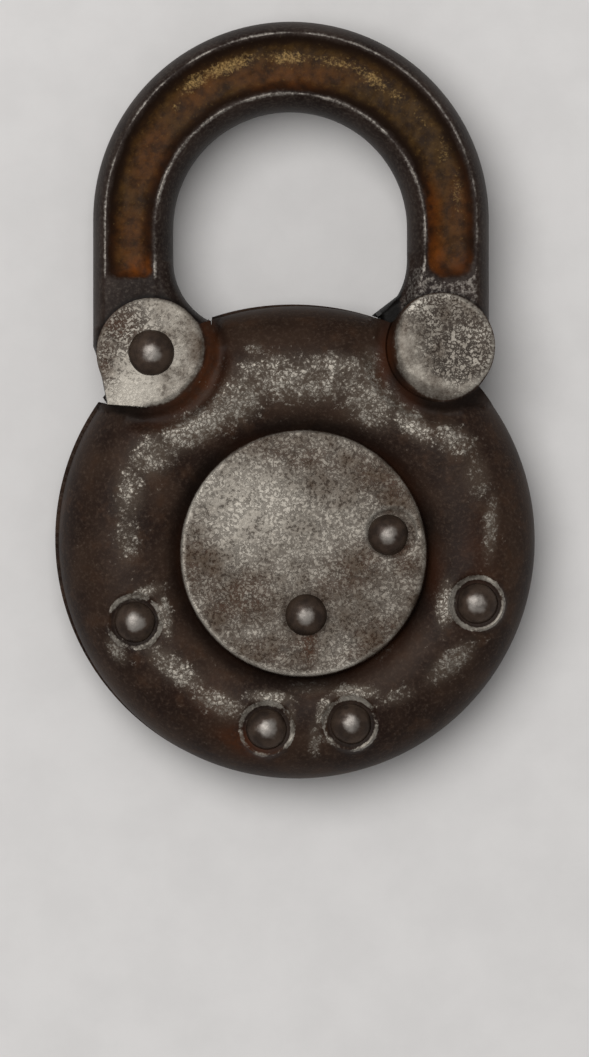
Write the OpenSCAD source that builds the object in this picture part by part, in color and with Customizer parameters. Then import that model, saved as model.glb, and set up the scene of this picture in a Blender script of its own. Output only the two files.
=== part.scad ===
// Round push-key padlock: two pressed steel shells riveted together over six sprung
// levers and a locking dog, with a cast shackle hinged on its heel rivet.
//
// The lock lies on its keyhole face. The origin is the centre of the keyhole on the
// surface it lies on: +X to the toe side, +Y towards the bow of the shackle, +Z up.
// Inside the modules z = 0 is the plane where the two shells meet.

/* [Case] */
// Radius of the round case, mm
case_r = 27; // [26.5:0.1:28]
// Height from the meeting plane to the raised disc and the ears, mm
half_height = 7.5; // [7.4:0.1:8]
// Thickness of the pressed sheet, mm
sheet = 1.5; // [1.3:0.1:1.6]
// Radius of the ring's round section, mm
bulge_r = 7.2; // [7.1:0.1:7.3]
// Radius of the raised disc, mm
disc_r = 13.9; // [13.5:0.1:14]
// How far below the disc the groove around it lies, mm
moat_depth = 1.9; // [1.7:0.1:2]
// How far the keyhole shell sits to the left of the other one, mm
shell_shift = 0.4; // [0:0.1:0.6]

/* [Ears] */
// Radius of the flat top of each ear, mm
ear_r = 6.2; // [6:0.1:6.4]

/* [Shackle] */
// Outside radius of the bow, mm
bow_out_r = 22.45; // [22.3:0.05:22.5]
// Inside radius of the bow, mm
bow_in_r = 13.25; // [13.1:0.05:13.4]
// Thickness of the casting, mm
shackle_t = 11; // [10:0.5:11]
// Depth of the sunk panel in each face, mm
panel_depth = 1; // [0.5:0.1:1.4]
// How far the shackle swings open, degrees
shackle_open = 75; // [40:1:75]

/* [Mechanism] */
// Thickness of one lever, mm
lever_t = 1.1; // [0.8:0.05:1.15]
// Distance between the middles of neighbouring levers, mm
lever_pitch = 1.37; // [1.3:0.01:1.38]
// Swing of the locking dog from drawn back to latched, degrees
dog_swing = 18; // [17:0.5:18.5]
// Radius of the key's round shank with the play that it needs, mm
key_r = 3.6; // [3.5:0.1:3.8]

/* [Rivets] */
// Radius of the heel rivet's shank, mm
heel_shank_r = 2; // [1.8:0.1:2.1]
// Radius of the rim rivets' shanks, mm
rim_shank_r = 1.15; // [1:0.05:1.2]
// Height of the domed heads, mm
head_h = 1.6; // [1.2:0.1:1.8]

/* [Hidden] */
$fn = 96;
cut = 0.5;              // how far a cutting shape runs past the face that it cuts
play = 0.02;            // gap round a rivet's shank in the sheet
run = 0.05;             // running gap round a pivot

// Places, from the middle of the case
disc_at = [0.75, -1.45];
heel_at = [-16.4, 21.2];
toe_at = [16.3, 21.9];
lever_post_at = [1.05, -8.4];
dog_post_at = [10.3, 0.65];
rim_left_at = [-18.3, -9.2];
rim_right_at = [20.4, -7.1];
rim_lower_left_at = [-3.4, -21.3];
rim_lower_right_at = [6.1, -20.7];
RIM = [rim_left_at, rim_right_at, rim_lower_left_at, rim_lower_right_at];

// Case
bulge_at = case_r - bulge_r;                // radius of the ring's crest
moat_z = half_height - moat_depth;
seat_z = 6.6;                               // flat seats under the rim rivets' heads
seat_r = 3;
collar_r = 2;
lid_z = half_height - 1.6;                  // underside of the ears' flat tops
hook_z = 4.2;                               // half height of the room for the dog's hook

// Shackle
bow_x = -0.65;
bow_out_y = 36.4;
bow_in_y = 35.3;
leg_end_y = 21.2;
flare_r = 7.7;                              // curve of the legs' inner feet
flare_y = 31.7;
panel_end_y = 29.6;
heel_eye_r = 5.2;
toe_end_r = 4.65;
toe_end_at = [bow_x + bow_out_r - toe_end_r, 21.5];
lug_z = 4;                                  // half thickness of the lug on the toe

// Mechanism
lever_shank_r = 1.25;
dog_shank_r = 1.2;
stack_top = 2.5 * lever_pitch + lever_t / 2;
disc_inside = half_height - sheet;
lever_hub_r = 2.8;
lever_out_r = 6.9;
lever_reach = 15;                           // radius of the levers' ends from their post
gate_depth = 0.9;
fence_w = 1.4;
fence_in = 0.6;                             // how far the fence stands in the gates
fence_angle = 82.3;                         // direction of the gates from the lever post
LEVER_SWING = [9, 10.5, 8.5, 11, 9.5, 10];  // degrees from lined up to sprung home
LEVER_BELLY = [5.05, 5.1, 5.35, 4.6, 4.9, 4.85];
dog_t = 7.4;
dog_elbow = [9.9, 8.4];
spring_t = 0.35;
wire_r = 0.4;

// Puts a sub-part that is drawn about the meeting plane at its height above the surface.
module placed() {
    translate([0, 0, half_height]) children();
}

module at(p) {
    translate([p.x, p.y, 0]) children();
}

// A straight bar with round ends, flat.
module bar(a, b, w) {
    d = b - a;
    translate(a) rotate(atan2(d.y, d.x)) translate([0, -w / 2]) square([norm(d), w]);
    translate(a) circle(d = w);
    translate(b) circle(d = w);
}

// A low dome standing on z = 0.
module dome(r, h) {
    ball_r = (r * r + h * h) / (2 * h);
    intersection() {
        translate([0, 0, h - ball_r]) sphere(r = ball_r);
        cylinder(r = r + cut, h = h + cut);
    }
}

// ---------------------------------------------------------------- case shells

// The raised walls of an ear, from its flat top down to the ring.
module ear_boss(r) {
    rotate_extrude() polygon([
        [0, 0], [r + 2.9, 0], [r + 2.7, 3], [r + 2.1, 4.6], [r + 1.1, 6.2],
        [r + 0.35, 7.15 / 7.5 * half_height], [r, half_height], [0, half_height]
    ]);
}

module ears() {
    intersection() {
        at(heel_at) ear_boss(ear_r);
        cylinder(r = case_r, h = half_height + cut);
    }
    intersection() {
        at(toe_at) ear_boss(ear_r - 0.1);
        union() {
            cylinder(r = case_r, h = half_height + cut);
            linear_extrude(half_height + cut)
                polygon([[22.4, 21.5], [21.7, 16.3], [16, 14], [16, 21.5]]);
        }
    }
    translate([0, 0, lid_z]) linear_extrude(half_height - lid_z) {
        translate(heel_at) circle(r = ear_r);
        polygon([[-22.4, 20.4], [-21.5, 15.5], [-15.7, 14.9], [-16, 21]]);
        translate(toe_at) circle(r = ear_r - 0.1);
    }
}

// The round part of a shell, solid: the ring's bulge, the groove and the raised disc.
module shell_body(shift) {
    difference() {
        translate([-shift, shift / 2, 0]) rotate_extrude() {
            intersection() {
                translate([bulge_at, 0.1]) circle(r = bulge_r);
                square([case_r + 1, half_height]);
            }
            square([bulge_at, moat_z]);
        }
        at(disc_at) rotate_extrude() polygon([
            [0, moat_z], [disc_r + 1.1, moat_z], [disc_r + 3, half_height + 0.1],
            [0, half_height + 0.1]
        ]);
    }
    at(disc_at) rotate_extrude() polygon([
        [0, moat_z - 1], [disc_r + 0.2, moat_z - 1], [disc_r + 0.2, moat_z],
        [disc_r, half_height - 0.15], [disc_r - 0.15, half_height], [0, half_height]
    ]);
}

// The hollow inside a shell.
module shell_hollow() {
    rotate_extrude() {
        intersection() {
            translate([bulge_at, 0.1]) circle(r = bulge_r - sheet);
            translate([0, -1]) square([case_r, half_height + 1]);
        }
        translate([0, -1]) square([bulge_at, moat_z - sheet + 1]);
    }
    at(disc_at) translate([0, 0, -1]) cylinder(r = disc_r - sheet, h = disc_inside + 1);
    for (p = RIM) at(p) translate([0, 0, -1]) cylinder(r = collar_r + 0.1, h = seat_z - sheet + 1);
}

// The room that the shackle's heel and toe need, at rest and while it swings.
module shackle_room() {
    translate([0, 0, -1]) linear_extrude(lid_z + 1) {
        // Heel: the eye, its outer corner as it turns, and the leg with its inner foot
        translate(heel_at) circle(r = heel_eye_r + 0.45);
        intersection() {
            translate(heel_at) circle(r = 6.95);
            polygon([heel_at, [-30, 24], [-30, 10], [-15.6, 10]]);
        }
        translate(heel_at) rotate(shackle_open) translate([-7.08, 1.2]) square([6, 13]);
        translate([-23.6, leg_end_y]) square([14.4, 12]);
        polygon([[-9.2, 26], [-9.2, 24.6], [-11, 18.8], [-16, 21], [-16, 26]]);
        // Toe: the leg's end and the way up out of the case
        translate(toe_end_at) circle(r = toe_end_r + 0.45);
        translate([12, 21.5]) square([10.3, 12]);
        polygon([[12, 22], [12, 16.7], [17, 16.5], [21, 22]]);
    }
    translate([0, 0, -1]) linear_extrude(hook_z + 1) {
        translate([7.4, 22.4]) square([6, 10]);
        translate([7.9, 18]) square([5, 4.8]);
    }
}

module shell(shift) {
    difference() {
        union() {
            difference() {
                union() {
                    shell_body(shift);
                    ears();
                    for (p = RIM) at(p) translate([0, 0, 3]) cylinder(r = seat_r, h = seat_z - 3);
                }
                for (p = RIM) at(p) translate([0, 0, seat_z]) cylinder(r = seat_r, h = 2);
                shell_hollow();
                shackle_room();
            }
            for (p = RIM) at(p) translate([0, 0, seat_z - sheet]) cylinder(r = seat_r, h = sheet);
        }
        rivet_hole(heel_at, heel_shank_r);
        rivet_hole(lever_post_at, lever_shank_r);
        rivet_hole(dog_post_at, dog_shank_r);
        for (p = RIM) rivet_hole(p, rim_shank_r);
    }
}

module rivet_hole(p, shank_r) {
    at(p) translate([0, 0, -1]) cylinder(r = shank_r + play, h = half_height + 2);
}

module front_shell() {
    color("dimgray") placed() shell(0);
}

// The same pressing turned over, with the keyhole and with countersinks for the rivets.
module back_shell() {
    color("dimgray") placed() mirror([0, 0, 1]) difference() {
        shell(shell_shift);
        countersink(heel_at, heel_shank_r);
        countersink(lever_post_at, lever_shank_r);
        countersink(dog_post_at, dog_shank_r);
        translate([0, 0, disc_inside - 1]) linear_extrude(sheet + 2) {
            circle(r = key_r);
            square([14.2, 3], center = true);
        }
    }
}

module countersink(p, shank_r) {
    at(p) translate([0, 0, half_height - 0.8])
        cylinder(r1 = shank_r + play, r2 = shank_r + play + 0.8, h = 0.8);
    at(p) translate([0, 0, half_height - 0.001]) cylinder(r = shank_r + play + 0.8, h = 1);
}

// ---------------------------------------------------------------- rivets and collars

// A rivet with its domed head up and its end hammered flush into the countersink.
module flush_rivet(p, shank_r, head_r) {
    at(p) {
        translate([0, 0, half_height]) dome(head_r, head_h);
        translate([0, 0, -half_height]) cylinder(r = shank_r, h = 2 * half_height + 0.1);
        translate([0, 0, -half_height]) cylinder(r1 = shank_r + 0.8, r2 = shank_r, h = 0.8);
    }
}

module heel_rivet() {
    color("saddlebrown") placed() flush_rivet(heel_at, heel_shank_r, 2.64);
}

module lever_rivet() {
    color("saddlebrown") placed() flush_rivet(lever_post_at, lever_shank_r, 2.4);
}

module dog_rivet() {
    color("saddlebrown") placed() flush_rivet(dog_post_at, dog_shank_r, 2.3);
}

// A rim rivet stands on a seat at each end: a dome above, a low hammered end below.
module rim_rivet(p) {
    color("saddlebrown") placed() at(p) {
        translate([0, 0, seat_z]) dome(2.35, head_h);
        translate([0, 0, -seat_z]) cylinder(r = rim_shank_r, h = 2 * seat_z + 0.1);
        translate([0, 0, -seat_z]) mirror([0, 0, 1]) dome(2.3, 0.7);
    }
}

// A tube round a rim rivet, which holds the two shells apart.
module rim_collar(p) {
    color("gray") placed() at(p) difference() {
        translate([0, 0, sheet - seat_z]) cylinder(r = collar_r, h = 2 * (seat_z - sheet));
        translate([0, 0, -seat_z]) cylinder(r = rim_shank_r + play, h = 2 * seat_z);
    }
}

// A ring on a post, between z0 and z1.
module spacer(p, shank_r, z0, z1) {
    color("gray") placed() at(p) difference() {
        translate([0, 0, z0]) cylinder(r = 2.6, h = z1 - z0);
        translate([0, 0, z0 - cut]) cylinder(r = shank_r + play, h = z1 - z0 + 2 * cut);
    }
}

// ---------------------------------------------------------------- shackle

// The bow and straight legs, drawn in from the outer and inner edges, down to y_end.
module bow(in_out, in_in, y_end) {
    leg_out = bow_out_r - in_out;
    leg_in = bow_in_r + in_in;
    difference() {
        union() {
            translate([bow_x, bow_out_y]) circle(r = leg_out);
            translate([bow_x - leg_out, y_end]) square([2 * leg_out, bow_out_y - y_end]);
        }
        translate([bow_x - 0.1, bow_in_y]) circle(r = leg_in);
        translate([bow_x - 0.1 - leg_in, y_end - 9]) square([2 * leg_in, bow_in_y - y_end + 9]);
        translate([bow_x - 30, y_end - 30]) square([60, 30]);
    }
}

// The heel: an eye round the rivet, a rounded outer corner and the curved inner foot.
module heel_outline() {
    inner = bow_x - 0.1 - bow_in_r;
    translate(heel_at) circle(r = heel_eye_r);
    polygon([heel_at, [-16.4, 25], [-23.1, 24], [-23.1, 21], [-22.6, 19.3], [-20.66, 18.22]]);
    difference() {
        polygon([
            [inner - 1, flare_y], [inner + 4.4, flare_y], [inner + 4.4, 25],
            [inner + 2.6, 19.2], [-16, 21]
        ]);
        translate([inner + flare_r, flare_y]) circle(r = flare_r);
    }
}

module toe_outline() {
    translate(toe_end_at) circle(r = toe_end_r);
    translate([12.55, 21]) square([9.25, 2]);
    polygon([[12.55, 22], [12.6, 17.2], [17, 17], [21, 22]]);
}

// The room for the dog's hook, cut in from the inner side of the toe.
module toe_notch() {
    translate([11, 18.9]) square([4.7, 3.6]);
}

module toe_lug_outline() {
    inner = bow_x - 0.1 + bow_in_r;
    difference() {
        translate([inner - 4.1, 23.4]) square([5, flare_y - 23.4]);
        translate([inner - flare_r, flare_y]) circle(r = flare_r);
    }
}

module slab(h) {
    translate([0, 0, -h]) linear_extrude(2 * h) children();
}

module shackle() {
    color("sienna") placed() difference() {
        union() {
            slab(shackle_t / 2 - 1.6) {
                bow(0, 0, leg_end_y);
                heel_outline();
                toe_outline();
            }
            slab(shackle_t / 2 - 0.7) bow(0.4, 0.6, leg_end_y + 0.4);
            slab(shackle_t / 2) {
                bow(1.1, 1.5, leg_end_y + 0.8);
                translate(heel_at) circle(r = heel_eye_r - 0.2);
                translate(toe_end_at) circle(r = toe_end_r - 1.2);
            }
            slab(shackle_t / 2 - 0.2) heel_outline();
            slab(lug_z) toe_lug_outline();
        }
        for (side = [0, 1]) mirror([0, 0, side])
            translate([0, 0, shackle_t / 2 - panel_depth]) linear_extrude(2)
                bow(1.6, 2.3, panel_end_y);
        slab(shackle_t) toe_notch();
        at(heel_at) cylinder(r = heel_shank_r + run, h = 30, center = true);
    }
}

// ---------------------------------------------------------------- locking dog

module about_dog_post(angle) {
    translate(dog_post_at) rotate(angle) translate(-dog_post_at) children();
}

module about_lever_post(angle) {
    translate(lever_post_at) rotate(angle) children();
}

// One plate on its own post, drawn back: its hook points to the toe, and its fence
// stands in the gates of all six levers.
module locking_dog() {
    color("slategray") placed() slab(dog_t / 2) difference() {
        union() {
            translate(dog_post_at) circle(r = 2.6);
            bar(dog_post_at, dog_elbow, 3);
            bar(dog_elbow, [3.35, 8.75], 2.2);
            about_lever_post(fence_angle - 90) translate([-fence_w / 2, lever_reach - fence_in])
                square([fence_w, 2.4]);
            about_dog_post(dog_swing) {
                bar([12.3, 8.14], [10.2, 20.2], 2.6);
                translate([9.4, 19.2]) square([5.8, 2.4]);
            }
        }
        translate(dog_post_at) circle(r = dog_shank_r + run);
    }
}

// A two-turn wire spring on the dog's post. One end leans on the case, the other on the dog.
module dog_spring() {
    coil_r = 2;
    leg_r = wire_r - 0.04;
    z0 = dog_t / 2 + 0.6;
    pitch = 2 * wire_r - 0.1;
    bend = [7.75, 5.5];
    color("darkgray") placed() {
        at(dog_post_at) translate([0, 0, z0]) rotate_extrude() {
            translate([coil_r, 0]) circle(r = wire_r);
            translate([coil_r, pitch]) circle(r = wire_r);
            translate([coil_r - 0.2, 0]) square([0.4, pitch]);
        }
        wire([dog_post_at.x - coil_r, dog_post_at.y, z0], [bend.x, bend.y, z0], leg_r);
        at(bend) translate([0, 0, z0 - 2]) cylinder(r = wire_r, h = 2 + wire_r);
        wire([dog_post_at.x + coil_r, dog_post_at.y, z0 + pitch], [12.5, -1.7, z0 + pitch], leg_r);
    }
}

// A straight length of round wire.
module wire(a, b, r) {
    d = b - a;
    translate(a) rotate([0, 0, atan2(d.y, d.x)]) rotate([0, 90, 0]) cylinder(r = r, h = norm(d));
}

// ---------------------------------------------------------------- levers

function lever_z(i) = (i - 3.5) * lever_pitch;

// The gate: as wide as the fence at its floor, with a mouth that lets the fence leave
// while the lever turns home.
module gate(i) {
    side = fence_w / 2 + 0.17;
    mouth = 1.25 + 0.24 * lever_reach * sin(LEVER_SWING[i - 1]);
    about_lever_post(fence_angle - 90) polygon([
        [-side, lever_reach + 1], [-side, lever_reach - gate_depth],
        [side, lever_reach - gate_depth], [mouth, lever_reach - 0.05], [mouth, lever_reach + 1]
    ]);
}

// A lever: a hub on the post, an arm that passes the key's right side, and a head with
// the gate. The key's bit bears on the arm's inner edge, the belly.
module lever(i) {
    head = lever_reach + 5;
    color("lightslategray") placed() translate([0, 0, lever_z(i) - lever_t / 2])
        linear_extrude(lever_t) difference() {
            union() {
                circle(r = lever_out_r);
                translate(lever_post_at) circle(r = lever_hub_r);
                intersection() {
                    translate(lever_post_at) circle(r = lever_reach);
                    translate(lever_post_at) polygon([
                        [0, 0], head * [cos(69), sin(69)], head * [cos(98), sin(98)]
                    ]);
                }
            }
            circle(r = LEVER_BELLY[i - 1]);
            translate([-10.9, -5.55]) square([10, 20]);
            translate([-10.9, -7.5]) square([9, 4]);
            gate(i);
            translate(lever_post_at) circle(r = lever_shank_r + run);
            bar([0.6, -10.2], [0.66, -12], spring_t + 0.1);
        }
}

// A leaf fixed in a slot in the lever's hub. Its free end leans on the lower left collar.
module lever_spring(i) {
    root = [0.6, -10.2];
    tip = rim_lower_left_at + [collar_r + 0.45, 0.3];
    steps = 8;
    bow_out = 0.5;
    path = [for (k = [0:steps]) let (t = k / steps)
        root * (1 - t) + tip * t + [bow_out * 4 * t * (1 - t), 0]];
    half = [spring_t / 2, 0];
    color("silver") placed() translate([0, 0, lever_z(i) - 0.5]) linear_extrude(1)
        polygon(concat([for (p = path) p + half], [for (k = [steps:-1:0]) path[k] - half]));
}

front_shell();
back_shell();
shackle();
heel_rivet();
lever_rivet();
dog_rivet();
rim_rivet(rim_left_at);  // rim_rivet_left
rim_rivet(rim_right_at);  // rim_rivet_right
rim_rivet(rim_lower_left_at);  // rim_rivet_lower_left
rim_rivet(rim_lower_right_at);  // rim_rivet_lower_right
rim_collar(rim_left_at);  // rim_collar_left
rim_collar(rim_right_at);  // rim_collar_right
rim_collar(rim_lower_left_at);  // rim_collar_lower_left
rim_collar(rim_lower_right_at);  // rim_collar_lower_right
spacer(lever_post_at, lever_shank_r, stack_top + run, disc_inside);  // lever_spacer_front
spacer(lever_post_at, lever_shank_r, -disc_inside, -stack_top - run);  // lever_spacer_back
spacer(dog_post_at, dog_shank_r, -disc_inside, -dog_t / 2 - run);  // dog_spacer
dog_spring();
locking_dog();
lever(1);  // lever_1
lever(2);  // lever_2
lever(3);  // lever_3
lever(4);  // lever_4
lever(5);  // lever_5
lever(6);  // lever_6
lever_spring(1);  // lever_spring_1
lever_spring(2);  // lever_spring_2
lever_spring(3);  // lever_spring_3
lever_spring(4);  // lever_spring_4
lever_spring(5);  // lever_spring_5
lever_spring(6);  // lever_spring_6
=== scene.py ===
import math
import bpy
import numpy as np
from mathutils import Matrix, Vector
from mathutils.geometry import delaunay_2d_cdt


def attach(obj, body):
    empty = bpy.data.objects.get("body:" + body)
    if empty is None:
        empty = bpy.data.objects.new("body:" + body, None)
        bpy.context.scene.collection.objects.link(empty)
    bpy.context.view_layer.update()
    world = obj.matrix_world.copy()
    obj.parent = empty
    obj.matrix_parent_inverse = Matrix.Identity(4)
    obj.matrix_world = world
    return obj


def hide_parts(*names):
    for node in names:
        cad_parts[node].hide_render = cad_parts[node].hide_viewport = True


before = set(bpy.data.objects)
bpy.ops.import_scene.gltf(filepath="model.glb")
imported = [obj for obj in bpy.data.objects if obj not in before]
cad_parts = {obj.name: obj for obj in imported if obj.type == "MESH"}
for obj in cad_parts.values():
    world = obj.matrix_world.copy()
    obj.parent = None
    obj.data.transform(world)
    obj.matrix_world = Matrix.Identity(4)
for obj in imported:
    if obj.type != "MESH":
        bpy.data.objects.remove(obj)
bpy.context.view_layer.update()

MM = 0.001
scene = bpy.context.scene

# ---------------------------------------------------------------- floor, lamps and camera
# The lock lies on its keyhole face on a sheet of pale paper, under one large soft lamp that
# hangs almost straight above it, a little to the upper left, and it is seen from above.


def linear(r, g, b):
    """A colour given as 0-255 screen values, as the linear RGBA that a socket takes."""
    return tuple(
        (c / 12.92 if c <= 0.04045 else ((c + 0.055) / 1.055) ** 2.4)
        for c in (r / 255, g / 255, b / 255)
    ) + (1.0,)


class Finish:
    """A node material under construction: makes nodes and joins them in one call."""

    def __init__(self, name):
        self.material = bpy.data.materials.new(name)
        self.material.use_nodes = True
        self.tree = self.material.node_tree
        self.tree.nodes.clear()
        self.out = self.tree.nodes.new("ShaderNodeOutputMaterial")
        self.place = self.node("ShaderNodeTexCoord").outputs["Object"]

    def node(self, kind, inputs=None, **settings):
        n = self.tree.nodes.new(kind)
        for key, value in settings.items():
            setattr(n, key, value)
        for key, value in (inputs or {}).items():
            if isinstance(value, bpy.types.NodeSocket):
                self.tree.links.new(value, n.inputs[key])
            else:
                n.inputs[key].default_value = value
        return n

    def grain(self, size_mm, detail=4.0, rough=0.6, stretch=None):
        """Noise about 0 to 1 whose blotches are size_mm across."""
        place = self.place
        if stretch:
            place = self.node("ShaderNodeMapping", {"Vector": place, "Scale": stretch}).outputs[0]
        n = self.node("ShaderNodeTexNoise", {
            "Vector": place, "Scale": 1 / (size_mm * MM), "Detail": detail, "Roughness": rough})
        return n.outputs["Fac"]

    def crumbs(self, size_mm, wobble=0.9):
        """Crumbs about size_mm across: 0 in the cracks between them, up to about 0.4 inside."""
        drift = self.node("ShaderNodeTexNoise", {
            "Vector": self.place, "Scale": 1 / (size_mm * MM), "Detail": 2.0}).outputs["Color"]
        drift = self.node("ShaderNodeVectorMath", {0: drift, 1: (0.5, 0.5, 0.5)},
                          operation="SUBTRACT").outputs[0]
        drift = self.node("ShaderNodeVectorMath", {0: drift, "Scale": 2 * wobble * size_mm * MM},
                          operation="SCALE").outputs[0]
        place = self.node("ShaderNodeVectorMath", {0: self.place, 1: drift}).outputs[0]
        return self.node("ShaderNodeTexVoronoi", {
            "Vector": place, "Scale": 1 / (size_mm * MM)}, feature="DISTANCE_TO_EDGE").outputs[0]

    def attribute(self, name):
        return self.node("ShaderNodeAttribute", attribute_name=name).outputs["Fac"]

    def maths(self, operation, a, b):
        return self.node("ShaderNodeMath", {0: a, 1: b}, operation=operation).outputs[0]

    def plus(self, a, b):
        return self.maths("ADD", a, b)

    def minus(self, a, b):
        return self.maths("SUBTRACT", a, b)

    def times(self, a, b):
        return self.maths("MULTIPLY", a, b)

    def most(self, a, b):
        return self.maths("MAXIMUM", a, b)

    def rest(self, share):
        """What a share leaves of 1."""
        return self.minus(1.0, share)

    def spread(self, value, middle, gain):
        """How far value lies from middle, times gain."""
        return self.times(self.minus(value, middle), gain)

    def ramp(self, value, low, high, to_low=0.0, to_high=1.0):
        return self.node("ShaderNodeMapRange", {
            "Value": value, "From Min": low, "From Max": high,
            "To Min": to_low, "To Max": to_high}, interpolation_type="SMOOTHSTEP").outputs[0]

    def blend(self, share, a, b):
        n = self.node("ShaderNodeMix", data_type="RGBA")
        for socket, value in ((n.inputs[0], share), (n.inputs[6], a), (n.inputs[7], b)):
            if isinstance(value, bpy.types.NodeSocket):
                self.tree.links.new(value, socket)
            else:
                socket.default_value = value
        return n.outputs[2]

    def choose(self, share, a, b):
        """A number that goes from a to b with share."""
        return self.node("ShaderNodeMix", {0: share, 2: a, 3: b}, data_type="FLOAT").outputs[0]

    def crinkle(self, size_mm, width):
        """1 along thin wandering lines, 0 between them."""
        off = self.minus(self.grain(size_mm, 3, 0.6), 0.5)
        return self.ramp(self.times(off, off), 0.0, width, 1.0, 0.0)

    def bump(self, height, depth_mm, strength=1.0, below=None):
        inputs = {"Height": height, "Distance": depth_mm * MM, "Strength": strength}
        if below is not None:
            inputs["Normal"] = below
        return self.node("ShaderNodeBump", inputs).outputs[0]

    def surface(self, **inputs):
        names = {k.replace("_", " "): v for k, v in inputs.items()}
        shader = self.node("ShaderNodeBsdfPrincipled", names)
        self.tree.links.new(shader.outputs[0], self.out.inputs[0])
        return self.material


paper = Finish("paper")
paper_grain = paper.grain(9, 5)
paper_mat = paper.surface(
    Base_Color=paper.blend(paper.ramp(paper_grain, 0.3, 0.7), linear(207, 206, 206),
                           linear(212, 211, 211)),
    Roughness=0.85, Normal=paper.bump(paper.grain(0.5, 3), 0.02, 0.4))
FLOOR_REACH, FLOOR_GAP = 3.0, 0.03 * MM
floor_mesh = bpy.data.meshes.new("floor")
floor_mesh.from_pydata(
    [(x * FLOOR_REACH, y * FLOOR_REACH, -FLOOR_GAP)
     for x, y in ((-1, -1), (1, -1), (1, 1), (-1, 1))], [], [(0, 1, 2, 3)])
floor = bpy.data.objects.new("floor", floor_mesh)
scene.collection.objects.link(floor)
floor_mesh.materials.append(paper_mat)

world = bpy.data.worlds.new("room")
world.use_nodes = True
room_light = world.node_tree.nodes["Background"].inputs
room_light["Color"].default_value = (1.0, 0.985, 0.97, 1)
room_light["Strength"].default_value = 0.36
scene.world = world


def lamp(name, place, aim, size, watts, colour):
    data = bpy.data.lights.new(name, "AREA")
    data.shape, data.size, data.energy, data.color = "DISK", size, watts, colour
    obj = bpy.data.objects.new(name, data)
    obj.location = place
    obj.rotation_euler = (Vector(aim) - Vector(place)).to_track_quat("-Z", "Y").to_euler()
    scene.collection.objects.link(obj)


lamp("ceiling_lamp", place=(-0.16, 0.17, 0.75), aim=(0, 0.01, 0), size=0.55, watts=4.6,
     colour=(1, 0.985, 0.965))

CAMERA_DISTANCE, SENSOR = 1.5, 36
VIEW_WIDTH = 66.7 * MM
VIEW_MIDDLE = (-0.25 * MM, 1.36 * MM, 10 * MM)
camera_data = bpy.data.cameras.new("camera")
camera_data.sensor_fit = "HORIZONTAL"
camera_data.sensor_width = SENSOR
camera_data.lens = SENSOR * CAMERA_DISTANCE / VIEW_WIDTH
camera_data.clip_start, camera_data.clip_end = 0.01, 20
camera = bpy.data.objects.new("camera", camera_data)
camera.location = (*VIEW_MIDDLE[:2], VIEW_MIDDLE[2] + CAMERA_DISTANCE)
scene.collection.objects.link(camera)
scene.camera = camera
scene.view_settings.view_transform = "Standard"

# ---------------------------------------------------------------- front shell
# The upper half of the case, pressed from sheet steel: a round bulging ring, a flat disc in a
# groove, two raised ears over the shackle's ends and flat seats for the rim rivets. Handling has
# rubbed its high places to bare speckled steel; the rest is dark brown from old rust.

# All sizes are in mm. Heights are above the plane where the two shells meet.
HALF = 7.5                                  # height of the disc and of the ears' flat faces
CASE_R, BULGE_R, SHEET = 27.0, 7.2, 1.5
BULGE_AT, INNER_R = CASE_R - BULGE_R, CASE_R - SHEET
MOAT_Z, LID_Z = 5.6, 5.9                    # groove round the disc; ceiling over the shackle's ends
DISC, DISC_R = (0.75, -1.45), 13.9
HEEL, TOE, EAR_R = (-16.4, 21.2), (16.3, 21.9), 6.2
EARS = ((HEEL, EAR_R), (TOE, EAR_R - 0.1))
CORNER = ((-22.4, 20.4), (-21.4, 15.3), (-16.9, 14.97), (-16.0, 21.0))  # tongue of the heel's ear
LEVER_POST, DOG_POST, DISH = (1.05, -8.4), (10.3, 0.65), (10.75, 0.85)
RIM = ((-18.3, -9.2), (20.4, -7.1), (-3.4, -21.3), (6.1, -20.7))
SEAT_Z, SEAT_R = 6.6, 3.0                   # flat seats under the rim rivets
SWING, EYE_ROOM = 75, 6.86                  # the shackle's swing in degrees, the room for its eye


def ripple(x, y, size, seed):
    """A smooth random field from -1 to 1 whose bumps are size mm across."""
    table = np.random.RandomState(seed).uniform(-1, 1, (128, 128))
    u, v = np.asarray(x) / size + 40.0, np.asarray(y) / size + 40.0
    i, j = np.floor(u).astype(int), np.floor(v).astype(int)
    u, v = u - i, v - j
    u, v = u * u * (3 - 2 * u), v * v * (3 - 2 * v)
    low = table[i % 128, j % 128] * (1 - u) + table[(i + 1) % 128, j % 128] * u
    high = table[i % 128, (j + 1) % 128] * (1 - u) + table[(i + 1) % 128, (j + 1) % 128] * u
    return low * (1 - v) + high * v


def rough(x, y, size, seed, octaves=3):
    return sum(ripple(x, y, size / 2**k, seed + k) * 0.55**k for k in range(octaves))


def step(value, low, high):
    t = np.clip((value - low) / (high - low), 0, 1)
    return t * t * (3 - 2 * t)


def soft_max(a, b, k):
    h = np.clip(0.5 + 0.5 * (a - b) / k, 0, 1)
    return b + (a - b) * h + k * h * (1 - h)


def soft_min(a, b, k):
    return -soft_max(-a, -b, k)


def away(x, y, p):
    return np.hypot(x - p[0], y - p[1])


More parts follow.
